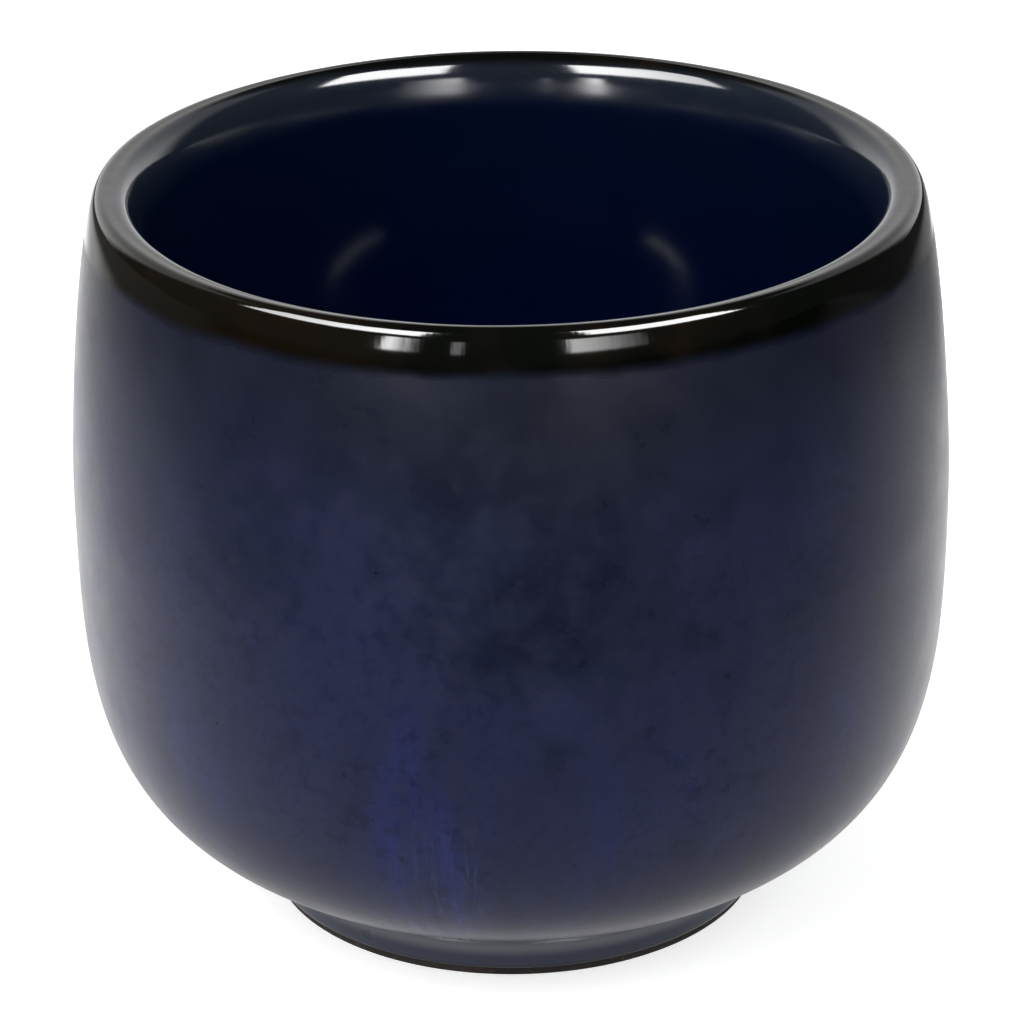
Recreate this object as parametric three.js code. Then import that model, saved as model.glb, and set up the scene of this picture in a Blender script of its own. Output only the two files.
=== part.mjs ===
// Sake cup: a small round-bellied stoneware cup on a low foot ring, glazed navy with a dark rim.
// Millimetres, +Z up. The origin is the centre of the foot, on the table.
import * as THREE from 'three';

// Foot ring, and the slip that lutes it to the bowl
const FOOT_DIAMETER = 36.7;
const FOOT_RING_WIDTH = 4.2;
const FOOT_RING_HEIGHT = 3.3;
const FOOT_EDGE_ROUND = 0.4;
const SLIP_THICKNESS = 0.4;

// Clay bowl. Heights are above the table, and a lean is in degrees from the vertical.
const CLAY_HEIGHT = 54.35;
const BELLY_DIAMETER = 63.2;
const BELLY_LEVEL = 32; // where the cup is widest
const BELLY_WALL = 3;
const FLOOR_THICKNESS = 4;
const LIP_DIAMETER = 59.7; // outside, at the lower edge of the rim band
const LIP_LEAN = 9.7;
const CREST_DIAMETER = 56.74; // the top of the lip
const MOUTH_DIAMETER = 53.8; // the narrowest place inside
const MOUTH_DEPTH = 3.2; // from the crest down to there

// Fullness of the bowl's curves: how far each one pulls straight out of its end
const UNDERSIDE_RISE = 21;
const UNDERSIDE_PULL = 13.7;
const BELLY_PULL_DOWN = 15.75;
const BELLY_PULL_UP = 3.1;
const SHOULDER_PULL = 7.4;
const LIP_PULL_UP = 3.2;
const CREST_PULL_OUT = 0.3;
const CREST_PULL_IN = 0.95;
const MOUTH_PULL_UP = 0.2;
const MOUTH_PULL_DOWN = 5;
const BORE_PULL_UP = 6;
const BORE_PULL_DOWN = 21;
const FLOOR_PULL = 25;

// Glaze coats, and the lines where they stop
const OUTER_COAT = 0.4;
const RIM_COAT = 0.5;
const INNER_COAT = 0.4;
const BASE_COAT = 0.3;
const RIM_BAND_DEPTH = 2.45; // outside, below the crest
const RIM_BAND_SHARE = 0.25; // share of the mouth's curve that the band covers inside
const BARE_FOOT = 0.3; // strip of clay left bare above the foot's rounded edge

// Fineness of the revolved surfaces
const SEGMENTS = 48;
const LONG_CURVE_STEPS = 9;
const SHORT_CURVE_STEPS = 5;
const EDGE_STEPS = 2;

const footRadius = FOOT_DIAMETER / 2;
const footBore = footRadius - FOOT_RING_WIDTH;
const baseLevel = FOOT_RING_HEIGHT + SLIP_THICKNESS;

// Section points: x is the radius and y the height.
const point = (radius, height) => new THREE.Vector2(radius, height);

// The point that lies a distance from a start, at an angle up from straight outwards.
function pulled(start, distance, degrees) {
  const angle = THREE.MathUtils.degToRad(degrees);
  return point(start.x + distance * Math.cos(angle), start.y + distance * Math.sin(angle));
}

// A curve's points after its start, which the stretch before it already has.
const steps = (curve, count) => curve.getPoints(count).slice(1);

// The outside of the clay, from the line where the foot is wiped bare up to the rim band.
function outsideStretch() {
  const wipeLine = point(footRadius, FOOT_EDGE_ROUND + BARE_FOOT);
  const crease = point(footRadius, baseLevel);
  const belly = point(BELLY_DIAMETER / 2, BELLY_LEVEL);
  const bandLine = point(LIP_DIAMETER / 2, CLAY_HEIGHT - RIM_BAND_DEPTH);
  const lowerWall = new THREE.CubicBezierCurve(
    crease,
    pulled(crease, UNDERSIDE_PULL, UNDERSIDE_RISE),
    pulled(belly, BELLY_PULL_DOWN, -90),
    belly,
  );
  const upperWall = new THREE.CubicBezierCurve(
    belly,
    pulled(belly, BELLY_PULL_UP, 90),
    pulled(bandLine, SHOULDER_PULL, LIP_LEAN - 90),
    bandLine,
  );
  return [
    wipeLine,
    crease,
    ...steps(lowerWall, LONG_CURVE_STEPS),
    ...steps(upperWall, SHORT_CURVE_STEPS),
  ];
}

// The curve that rolls from the crest down to the narrowest place of the mouth.
const crest = point(CREST_DIAMETER / 2, CLAY_HEIGHT);
const mouth = point(MOUTH_DIAMETER / 2, CLAY_HEIGHT - MOUTH_DEPTH);
const mouthCurve = new THREE.CubicBezierCurve(
  crest,
  pulled(crest, CREST_PULL_IN, 180),
  pulled(mouth, MOUTH_PULL_UP, 90),
  mouth,
);

// The points after the start of one part of the mouth's curve.
function mouthSteps(from, to, count) {
  const shares = Array.from({ length: count }, (_, i) => from + ((to - from) * (i + 1)) / count);
  return shares.map((share) => mouthCurve.getPoint(share));
}

// The lip, from the rim band over the crest to the band's inside line.
function lipStretch(bandLine) {
  const roll = new THREE.CubicBezierCurve(
    bandLine,
    pulled(bandLine, LIP_PULL_UP, LIP_LEAN + 90),
    pulled(crest, CREST_PULL_OUT, 0),
    crest,
  );
  return [...steps(roll, SHORT_CURVE_STEPS), ...mouthSteps(0, RIM_BAND_SHARE, EDGE_STEPS)];
}

// The inside of the clay, from the rim band's inside line down to the middle of the floor.
function insideStretch() {
  const bore = point(BELLY_DIAMETER / 2 - BELLY_WALL, BELLY_LEVEL);
  const floor = point(0, baseLevel + FLOOR_THICKNESS);
  const upperBore = new THREE.CubicBezierCurve(
    mouth,
    pulled(mouth, MOUTH_PULL_DOWN, -90),
    pulled(bore, BORE_PULL_UP, 90),
    bore,
  );
  const lowerBore = new THREE.CubicBezierCurve(
    bore,
    pulled(bore, BORE_PULL_DOWN, -90),
    pulled(floor, FLOOR_PULL, 0),
    floor,
  );
  return [
    ...mouthSteps(RIM_BAND_SHARE, 1, SHORT_CURVE_STEPS),
    ...steps(upperBore, SHORT_CURVE_STEPS),
    ...steps(lowerBore, LONG_CURVE_STEPS),
  ];
}

// The unit normal on the air side of a step along the clay, which is the right of its way.
function airSide(from, to) {
  const step = to.clone().sub(from).normalize();
  return point(step.y, -step.x);
}

// At each point of an outline, the mitre that carries a coat one millimetre thick.
// On the axis the outline goes on as its own mirror image.
function coatMitres(outline) {
  return outline.map((corner, i) => {
    const before = i > 0 ? airSide(outline[i - 1], corner) : airSide(corner, outline[i + 1]);
    let after = before;
    if (i < outline.length - 1) after = airSide(corner, outline[i + 1]);
    else if (corner.x === 0) after = point(-before.x, before.y);
    return before.clone().add(after).divideScalar(1 + before.dot(after));
  });
}

const outside = outsideStretch();
const lip = lipStretch(outside.at(-1));
const inside = insideStretch();
const skin = [...outside, ...lip, ...inside];
const mitres = coatMitres(skin);
const bandIndex = outside.length - 1;
const insideIndex = bandIndex + lip.length;
const floorIndex = insideIndex + inside.length;

// A solid of revolution about Z. A section off the axis is closed back to its first point.
function revolved(name, section, material) {
  const profile = section[0].x === 0 ? section : [...section, section[0]];
  const geometry = new THREE.LatheGeometry(profile, SEGMENTS).rotateX(Math.PI / 2);
  const mesh = new THREE.Mesh(geometry, material);
  mesh.name = name;
  return mesh;
}

// A glaze coat of even thickness on the skin from one of its points to another.
function coat(name, from, to, thickness, material) {
  const clayFace = skin.slice(from, to + 1);
  const airFace = clayFace.map((corner, i) => {
    return corner.clone().addScaledVector(mitres[from + i], thickness);
  });
  return revolved(name, [...clayFace.reverse(), ...airFace], material);
}

// The wall and floor of the cup. Its flat base is turned for the foot ring.
function clayBowl(material) {
  const [, ...bowlSkin] = skin;
  return revolved('clay_bowl', [point(0, baseLevel), ...bowlSkin], material);
}

// The ring that the cup stands on, with both bottom edges rounded.
function footRing(material) {
  const section = new THREE.Path();
  const round = FOOT_EDGE_ROUND;
  section.moveTo(footRadius, FOOT_RING_HEIGHT);
  section.lineTo(footBore, FOOT_RING_HEIGHT);
  section.absarc(footBore + round, round, round, Math.PI, 1.5 * Math.PI, false);
  section.absarc(footRadius - round, round, round, -0.5 * Math.PI, 0, false);
  return revolved('foot_ring', section.getPoints(EDGE_STEPS), material);
}

// The thin layer of slip between the foot ring and the bowl's base.
function lutingSlip(material) {
  const section = [
    point(footBore, FOOT_RING_HEIGHT),
    point(footRadius, FOOT_RING_HEIGHT),
    point(footRadius, baseLevel),
    point(footBore, baseLevel),
  ];
  return revolved('luting_slip', section, material);
}

// The glaze under the base, inside the foot ring.
function baseGlaze(material) {
  const section = [
    point(0, baseLevel - BASE_COAT),
    point(footBore, baseLevel - BASE_COAT),
    point(footBore, baseLevel),
    point(0, baseLevel),
  ];
  return revolved('base_glaze', section, material);
}

const stoneware = new THREE.MeshStandardMaterial({ color: 0x4a443f, roughness: 0.85, metalness: 0 });
const slip = new THREE.MeshStandardMaterial({ color: 0x5a534c, roughness: 0.9, metalness: 0 });
const navySatin = new THREE.MeshStandardMaterial({ color: 0x232a44, roughness: 0.45, metalness: 0 });
const darkRim = new THREE.MeshStandardMaterial({ color: 0x14110b, roughness: 0.12, metalness: 0 });
const deepNavy = new THREE.MeshStandardMaterial({ color: 0x06102e, roughness: 0.1, metalness: 0 });

const cup = new THREE.Group();
cup.add(
  clayBowl(stoneware),
  footRing(stoneware),
  lutingSlip(slip),
  coat('outer_glaze', 0, bandIndex, OUTER_COAT, navySatin),
  coat('rim_glaze', bandIndex, insideIndex, RIM_COAT, darkRim),
  coat('inner_glaze', insideIndex, floorIndex, INNER_COAT, deepNavy),
  baseGlaze(navySatin),
);

export default cup;
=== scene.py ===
"""Sake cup: a round-bellied stoneware cup on a low foot ring, glazed navy with a dark rim.

Metres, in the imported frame: +Z is up, and the side that the photograph shows faces -Y.
"""

import logging
import math
from collections.abc import Sequence
from dataclasses import dataclass
from enum import Enum

import bpy
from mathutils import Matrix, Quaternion, Vector
from mathutils.geometry import interpolate_bezier


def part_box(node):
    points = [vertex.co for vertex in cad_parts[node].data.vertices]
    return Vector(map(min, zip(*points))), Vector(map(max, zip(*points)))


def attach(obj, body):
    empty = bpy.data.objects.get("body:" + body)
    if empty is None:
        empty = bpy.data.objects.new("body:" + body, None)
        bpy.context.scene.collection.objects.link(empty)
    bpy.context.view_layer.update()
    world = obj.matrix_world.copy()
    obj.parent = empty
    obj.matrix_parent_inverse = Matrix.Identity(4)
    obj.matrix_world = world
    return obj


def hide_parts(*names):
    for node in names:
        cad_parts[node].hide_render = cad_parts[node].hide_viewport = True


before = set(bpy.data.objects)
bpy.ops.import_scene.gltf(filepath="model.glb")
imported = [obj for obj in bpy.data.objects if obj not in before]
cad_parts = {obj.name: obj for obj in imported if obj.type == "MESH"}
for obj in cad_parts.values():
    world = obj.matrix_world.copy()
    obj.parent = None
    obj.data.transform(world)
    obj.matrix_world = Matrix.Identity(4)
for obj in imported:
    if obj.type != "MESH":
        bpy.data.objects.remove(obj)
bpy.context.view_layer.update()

LOG = logging.getLogger("sake_cup")
MM = 0.001

# Ways to go in the cup's section, in degrees up from straight outwards
OUTWARD, UP, INWARD, DOWN = 0, 90, 180, -90

Colour = tuple[float, float, float]


class Piece(Enum):
    """The cup's pieces: each one's name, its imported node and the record's material slot."""

    BOWL = "thrown_bowl", "clay_bowl", "stoneware"
    FOOT = "turned_foot", "foot_ring", "stoneware"
    SLIP = "luting_layer", "luting_slip", "slip"
    OUTSIDE = "navy_coat", "outer_glaze", "navy_glaze"
    RIM = "rim_coat", "rim_glaze", "rim_glaze"
    INSIDE = "lining_coat", "inner_glaze", "inner_glaze"
    BASE = "base_coat", "base_glaze", "navy_glaze"

    @property
    def low(self) -> Vector:
        """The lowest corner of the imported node."""
        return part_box(self.value[1])[0]

    @property
    def high(self) -> Vector:
        """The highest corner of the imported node."""
        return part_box(self.value[1])[1]

    def place(self, thing: bpy.types.Object) -> None:
        """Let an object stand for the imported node, and report it.

        Args:
            thing: The finished object.
        """
        name, node, slot = self.value
        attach(thing, "root")
        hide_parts(node)
        LOG.info("%s: %d faces, for %s", name, len(thing.data.polygons), node)


class Seer(Enum):
    """Outputs of the Light Path node: the kinds of ray that see a surface."""

    CAMERA = "Is Camera Ray"
    GLOSSY = "Is Glossy Ray"
    TRANSMISSION = "Is Transmission Ray"


@dataclass(frozen=True)
class Signal:
    """A value that runs through a node tree. Arithmetic on it adds nodes."""

    bench: "Bench"
    socket: bpy.types.NodeSocket

    def __add__(self, other: "Feed") -> "Signal":
        """Add a number."""
        return self.bench.math("ADD", self, other)

    def __sub__(self, other: "Feed") -> "Signal":
        """Subtract a number."""
        return self.bench.math("SUBTRACT", self, other)

    def __mul__(self, other: "Feed") -> "Signal":
        """Multiply by a number."""
        return self.bench.math("MULTIPLY", self, other)

    def about(self, mean: float, swing: float) -> "Signal":
        """Let noise, whose own mean is a half, swing about another mean."""
        return self * swing + (mean - swing / 2)


Feed = Signal | float | str | Sequence[float]
Key = int | str
Feeds = dict[Key, Feed]


class Bench:
    """A node tree under construction."""

    def __init__(self, tree: bpy.types.NodeTree) -> None:
        """Empty the tree."""
        self.tree = tree
        tree.nodes.clear()

    def node(self, kind: str, feeds: Feeds | None = None, **settings: object) -> bpy.types.Node:
        """Add a node.

        Args:
            kind: The node's type.
            feeds: What goes into its sockets, by number or name.
            settings: Its properties.

        Returns:
            The node.
        """
        node = self.tree.nodes.new(kind)
        for key, value in settings.items():
            setattr(node, key, value)
        for key, value in (feeds or {}).items():
            socket = node.inputs[key]
            if isinstance(value, Signal):
                self.tree.links.new(value.socket, socket)
            else:
                socket.default_value = (*value, 1.0) if socket.type == "RGBA" else value
        return node

    def signal(
        self, kind: str, feeds: Feeds | None = None, output: Key = 0, **settings: object
    ) -> Signal:
        """Add a node for one of its outputs."""
        return Signal(self, self.node(kind, feeds, **settings).outputs[output])

    def math(self, operation: str, first: Feed, second: Feed = 0.0, clamp: bool = False) -> Signal:
        """Add arithmetic, whose result may be kept between 0 and 1."""
        feeds = {0: first, 1: second}
        return self.signal("ShaderNodeMath", feeds, operation=operation, use_clamp=clamp)

    def whole(self, operation: str, first: Feed, second: Feed) -> Signal:
        """Add arithmetic on whole numbers."""
        return self.signal("FunctionNodeIntegerMath", {0: first, 1: second}, operation=operation)

    def vector(self, operation: str, feeds: Feeds, output: Key = 0) -> Signal:
        """Add arithmetic on vectors."""
        return self.signal("ShaderNodeVectorMath", feeds, output, operation=operation)

    def parts(self, vector: Signal) -> tuple[Signal, ...]:
        """Take a vector apart into X, Y and Z."""
        outputs = self.node("ShaderNodeSeparateXYZ", {0: vector}).outputs
        return tuple(Signal(self, output) for output in outputs)

    def mix(self, share: Feed, first: Feed, second: Feed) -> Signal:
        """Mix two colours, by how much of the second shows."""
        feeds = {"Factor": share, "A": first, "B": second}
        return self.signal("ShaderNodeMix", feeds, "Result", data_type="RGBA")

    def blend(self, share: Feed, first: Feed, second: Feed) -> Signal:
        """Mix two numbers, by how much of the second counts."""
        feeds = {"Factor": share, "A": first, "B": second}
        return self.signal("ShaderNodeMix", feeds, "Result", data_type="FLOAT")

    def seen_by(self, seer: Seer) -> Signal:
        """Tell whether a kind of ray sees the surface."""
        return self.signal("ShaderNodeLightPath", None, seer.value)

    def seen_in_glaze(self) -> Signal:
        """Tell whether a mirror image, or a view through glass, sees the surface."""
        return self.math("MAXIMUM", self.seen_by(Seer.GLOSSY), self.seen_by(Seer.TRANSMISSION))


@dataclass(frozen=True)
class Ramp:
    """An eased change from low to high, while another number goes from start to stop."""

    start: Feed
    stop: Feed
    low: Feed = 0.0
    high: Feed = 1.0

    def of(self, value: Signal) -> Signal:
        """Ease a number."""
        feeds = {0: value, 1: self.start, 2: self.stop, 3: self.low, 4: self.high}
        return value.bench.signal("ShaderNodeMapRange", feeds, interpolation_type="SMOOTHSTEP")


@dataclass(frozen=True)
class Pattern:
    """Noise about 0.5: the size of its patches, its octaves, how much fine ones count, its seed."""

    size: float
    detail: float
    roughness: float
    seed: float

    def at(self, place: Signal) -> Signal:
        """Read the noise.

        Args:
            place: Where.

        Returns:
            The noise there.
        """
        feeds = {"Vector": place, "W": self.seed, "Scale": 1.0 / self.size}
        feeds |= {"Detail": self.detail, "Roughness": self.roughness}
        return place.bench.signal("ShaderNodeTexNoise", feeds, noise_dimensions="4D")


@dataclass(frozen=True)
class Layer:
    """A finish as its signals: colour, roughness and surface height in metres."""

    colour: Signal
    roughness: Signal
    height: Signal

    def over(self, share: Signal, under: "Layer") -> "Layer":
        """Let this glaze run into another.

        Args:
            share: How much of this glaze covers.
            under: The other glaze.

        Returns:
            Both together.
        """
        bench = share.bench
        return Layer(
            bench.mix(share, under.colour, self.colour),
            bench.blend(share, under.roughness, self.roughness),
            bench.blend(share, under.height, self.height),
        )


class MaterialBench(Bench):
    """The node tree of a new material, on Object coordinates."""

    def __init__(self, name: str) -> None:
        """Start the material.

        Args:
            name: Its name.
        """
        self.material = bpy.data.materials.new(name)
        self.material.use_nodes = True
        super().__init__(self.material.node_tree)
        self.place = self.signal("ShaderNodeTexCoord", None, "Object")

    def closed(self, shader: Signal) -> bpy.types.Material:
        """Join a shader to the output, which finishes the material."""
        self.node("ShaderNodeOutputMaterial", {"Surface": shader})
        return self.material

    def finished(self, layer: Layer, specular: float) -> bpy.types.Material:
        """Finish the material with a layer.

        Args:
            layer: What shows.
            specular: The shader's specular level.

        Returns:
            The material.
        """
        relief = {"Strength": 1.0, "Distance": 1.0, "Height": layer.height}
        feeds = {
            "Base Color": layer.colour,
            "Roughness": layer.roughness,
            "Normal": self.signal("ShaderNodeBump", relief),
            "Specular IOR Level": specular,
        }
        return self.closed(self.signal("ShaderNodeBsdfPrincipled", feeds))


class CupBench(MaterialBench):
    """The node tree of a glaze, with places on the cup."""

    def __init__(self, name: str) -> None:
        """Start the material and find height, radius and bearing.

        Args:
            name: Its name.
        """
        super().__init__(name)
        x, y, self.height = self.parts(self.place)
        flat = self.signal("ShaderNodeCombineXYZ", {"X": x, "Y": y})
        self.radius = self.vector("LENGTH", {0: flat}, "Value")
        self.bearing = self.vector("NORMALIZE", {0: flat})


@dataclass(frozen=True)
class Runs:
    """Noise drawn out into runs down the wall, whose width is an angle in radians."""

    width: float
    length: float
    detail: float
    roughness: float
    seed: float

    def on(self, cup: CupBench) -> Signal:
        """Read the noise.

        Args:
            cup: The glaze's tree.

        Returns:
            The noise at each point.
        """
        around = cup.vector("SCALE", {0: cup.bearing, "Scale": 1.0 / self.width})
        down = cup.signal("ShaderNodeCombineXYZ", {"Z": cup.height * (1.0 / self.length)})
        place = cup.vector("ADD", {0: around, 1: down})
        return Pattern(1.0, self.detail, self.roughness, self.seed).at(place)


@dataclass(frozen=True)
class Side:
    """A change with the chord to a bearing, in degrees to the right of the photographed side."""

    degrees: float
    ramp: Ramp

    def on(self, cup: CupBench) -> Signal:
        """Find the change.

        Args:
            cup: The glaze's tree.

        Returns:
            Its result at each point.
        """
        angle = math.radians(self.degrees)
        mark = (math.sin(angle), -math.cos(angle), 0.0)
        return self.ramp.of(cup.vector("DISTANCE", {0: cup.bearing, 1: mark}, "Value"))


@dataclass(frozen=True)
class NavyGlaze:
    """Satin navy of the outside: clouded, with runs of cobalt and a thin, grey foot; painted light
    and shade on its sides, a painted highlight on the foot's shoulder and painted shade along its
    bead.
    """

    cup: CupBench
    deep: Colour = (0.0041, 0.0065, 0.0228)
    mid: Colour = (0.0098, 0.0134, 0.0391)
    bright: Colour = (0.0145, 0.0178, 0.0580)
    cobalt: Colour = (0.0165, 0.0255, 0.1400)
    light_speck: Colour = (0.0185, 0.0212, 0.0450)
    dark_speck: Colour = (0.0036, 0.0062, 0.0270)
    frost: Colour = (0.0420, 0.0480, 0.1350)
    dull: Colour = (0.0052, 0.0074, 0.0145)
    thin: Colour = (0.0480, 0.0570, 0.1000)
    pale: Colour = (0.2400, 0.2470, 0.2800)

    ground: float = 0.16
    cloud: Pattern = Pattern(16.0 * MM, 3.0, 0.55, 1.3)
    cloud_share: float = 0.32
    mottle: Pattern = Pattern(3.2 * MM, 2.5, 0.5, 2.6)
    mottle_share: float = 0.36
    low_lift: Ramp = Ramp(30.0 * MM, 12.0 * MM, 0.0, 0.03)
    # Painted light on the left and right sides, and painted shade on the upper front that turns to
    # painted light on the lower front.
    painted_left_light: Side = Side(-50.0, Ramp(0.9, 0.3, 0.0, 0.1))
    painted_right_light: Side = Side(36.0, Ramp(0.6, 0.2, 0.0, 0.1))
    painted_right_light_level: Ramp = Ramp(14.0 * MM, 26.0 * MM, 0.3, 1.0)
    painted_front_shade: Side = Side(2.0, Ramp(0.4, 0.1, 0.0, 0.08))
    painted_front_shade_level: Ramp = Ramp(26.0 * MM, 34.0 * MM, -1.8, 1.0)
    to_mid: Ramp = Ramp(0.38, 0.5)
    to_bright: Ramp = Ramp(0.5, 0.62)
    under_rim: Ramp = Ramp(38.0 * MM, 50.5 * MM, 0.0, 0.8)

    grain: Pattern = Pattern(0.5 * MM, 2.0, 0.55, 4.2)
    grain_light: Ramp = Ramp(0.52, 0.68, 0.0, 0.3)
    grain_dark: Ramp = Ramp(0.48, 0.34, 0.0, 0.34)
    flake: Pattern = Pattern(1.25 * MM, 2.0, 0.55, 7.4)
    flake_light: Ramp = Ramp(0.53, 0.66, 0.0, 0.42)
    flake_dark: Ramp = Ramp(0.48, 0.36, 0.0, 0.52)
    drift: Pattern = Pattern(11.0 * MM, 2.0, 0.5, 3.1)
    drift_thick: Ramp = Ramp(0.4, 0.62, 0.35, 0.9)
    left_thick: Side = Side(-21.0, Ramp(0.5, 0.1, 0.0, 0.4))
    calm_level: Ramp = Ramp(34.0 * MM, 48.0 * MM, 1.0, 0.45)

    run_lines: Runs = Runs(0.045, 16.0 * MM, 3.0, 0.6, 0.7)
    run_strength: Ramp = Ramp(0.34, 0.66, 0.25, 0.95)
    run_bearing: float = -13.0
    run_width: Ramp = Ramp(30.0 * MM, 6.0 * MM, 0.05, 0.25)
    run_core: float = 0.25
    run_top: Ramp = Ramp(31.0 * MM, 17.0 * MM)
    run_end: Ramp = Ramp(3.2 * MM, 5.0 * MM)
    stray: Runs = Runs(0.2, 22.0 * MM, 2.0, 0.5, 6.3)
    stray_strength: Ramp = Ramp(0.56, 0.72, 0.0, 0.5)

    thread: Runs = Runs(0.018, 7.0 * MM, 2.0, 0.6, 5.7)
    thread_width: Ramp = Ramp(0.035, 0.0)
    thread_side: Side = Side(-9.0, Ramp(0.13, 0.04))
    thread_top: Ramp = Ramp(23.0 * MM, 14.0 * MM)
    thread_end: Ramp = Ramp(6.5 * MM, 8.5 * MM)
    thread_strength: float = 0.6

    foot_swing: float = 2.0 * MM
    foot_thin: Ramp = Ramp(5.6 * MM, 3.6 * MM, 0.0, 0.9)
    # Painted highlight: a pale band on the foot's turned shoulder.
    painted_highlight_bottom: Ramp = Ramp(1.6 * MM, 2.6 * MM)
    painted_highlight_top: Ramp = Ramp(3.1 * MM, 2.98 * MM)
    painted_highlight_share: float = 0.9
    # Painted shade: the darkest navy along the bead at the wipe line.
    bead: Ramp = Ramp(1.15 * MM, 0.85 * MM)

    pit_spacing: float = 2.6 * MM
    pit_chance: float = 0.92
    pit_size: Ramp = Ramp(0.09, 0.03)
    pit_shade: float = 0.25
    pit_depth: float = 0.01 * MM

    roughness: float = 0.3
    rough_swing: float = 0.16
    run_gloss: float = 0.06
    mottle_height: float = 0.02 * MM
    grain_height: float = 0.006 * MM

    def layer(self) -> Layer:
        """Lay the glaze.

        Returns:
            The finish.
        """
        cup = self.cup
        mottle = self.mottle.at(cup.place)
        grain = self.grain.at(cup.place)
        streak, pits = self.streaks(), self.pits()
        colour = cup.mix(streak, self.clouded(mottle), self.cobalt)
        colour = cup.mix(self.rivulets(), self.specked(colour, grain), self.frost)
        colour = cup.mix(pits * self.pit_shade, self.footed(colour, mottle), self.deep)
        rough = mottle.about(self.roughness, self.rough_swing) - streak * self.run_gloss
        height = mottle * self.mottle_height + grain * self.grain_height - pits * self.pit_depth
        return Layer(colour, rough, height)

    def clouded(self, mottle: Signal) -> Signal:
        """Cloud the navy, dull under the rim and lighter towards the bottom, with painted light on
        the left and right sides and the lower front, and painted shade on the upper front.

        Args:
            mottle: Its finer clouds.

        Returns:
            The colour.
        """
        cup, height = self.cup, self.cup.height
        tone = self.cloud.at(cup.place) * self.cloud_share + mottle * self.mottle_share
        # Painted light on the sides and the lower front, painted shade on the upper front.
        tone = tone + self.ground + self.low_lift.of(height) + self.painted_left_light.on(cup)
        tone = tone + self.painted_right_light.on(cup) * self.painted_right_light_level.of(height)
        tone = tone - self.painted_front_shade.on(cup) * self.painted_front_shade_level.of(height)
        colour = cup.mix(self.to_mid.of(tone), self.deep, self.mid)
        colour = cup.mix(self.to_bright.of(tone), colour, self.bright)
        return cup.mix(self.under_rim.of(height), colour, self.dull)

    def specked(self, colour: Signal, grain: Signal) -> Signal:
        """Scatter dark and light specks, thickest on the left of the photographed side.

        Args:
            colour: The glaze so far.
            grain: Noise of the finest specks.

        Returns:
            The specked colour.
        """
        cup = self.cup
        calm = self.calm_level.of(cup.height)
        flake = self.flake.at(cup.place)
        drift = self.drift_thick.of(self.drift.at(cup.place))
        thick = cup.math("ADD", self.left_thick.on(cup), drift, clamp=True) * calm
        for share, tint in (
            (self.flake_dark.of(flake) * thick, self.dark_speck),
            (self.flake_light.of(flake) * thick, self.light_speck),
            (self.grain_light.of(grain) * calm, self.light_speck),
            (self.grain_dark.of(grain) * calm, self.dark_speck),
        ):
            colour = cup.mix(share, colour, tint)
        return colour

    def rivulets(self) -> Signal:
        """Lay the thin pale rivulets in the widest run of cobalt.

        Returns:
            How much shows.
        """
        cup = self.cup
        ridge = cup.math("ABSOLUTE", self.thread.on(cup).about(0.0, 1.0))
        line = self.thread_width.of(ridge) * self.thread_side.on(cup)
        level = self.thread_top.of(cup.height) * self.thread_end.of(cup.height)
        return line * level * self.thread_strength

    def streaks(self) -> Signal:
        """Lay the runs of cobalt.

        Returns:
            How much cobalt shows.
        """
        cup = self.cup
        width = self.run_width.of(cup.height)
        near = Side(self.run_bearing, Ramp(width, width * self.run_core)).on(cup)
        where = cup.math("MAXIMUM", near, self.stray_strength.of(self.stray.on(cup)))
        level = self.run_top.of(cup.height) * self.run_end.of(cup.height)
        return where * level * self.run_strength.of(self.run_lines.on(cup))

    def footed(self, colour: Signal, mottle: Signal) -> Signal:
        """Thin the glaze towards the foot, with a painted highlight on its turned shoulder and
        painted shade along the bead.

        Args:
            colour: The glaze above.
            mottle: Noise that breaks the change.

        Returns:
            The colour with its foot.
        """
        cup, height = self.cup, self.cup.height
        level = height + mottle * self.foot_swing
        colour = cup.mix(self.foot_thin.of(level), colour, self.thin)
        # Painted highlight on the turned shoulder.
        shoulder = self.painted_highlight_bottom.of(height) * self.painted_highlight_top.of(height)
        colour = cup.mix(shoulder * self.painted_highlight_share, colour, self.pale)
        # Painted shade along the bead at the wipe line.
        return cup.mix(self.bead.of(height), colour, self.deep)

    def pits(self) -> Signal:
        """Scatter pinholes.

        Returns:
            How deep each point lies in a pinhole, from 0 to 1.
        """
        cup = self.cup
        feeds = {"Vector": cup.place, "Scale": 1.0 / self.pit_spacing}
        cells = cup.node("ShaderNodeTexVoronoi", feeds).outputs
        draw = cup.signal("ShaderNodeSeparateColor", {0: Signal(cup, cells["Color"])})
        few = cup.math("GREATER_THAN", draw, self.pit_chance)
        return few * self.pit_size.of(Signal(cup, cells["Distance"]))


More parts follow.
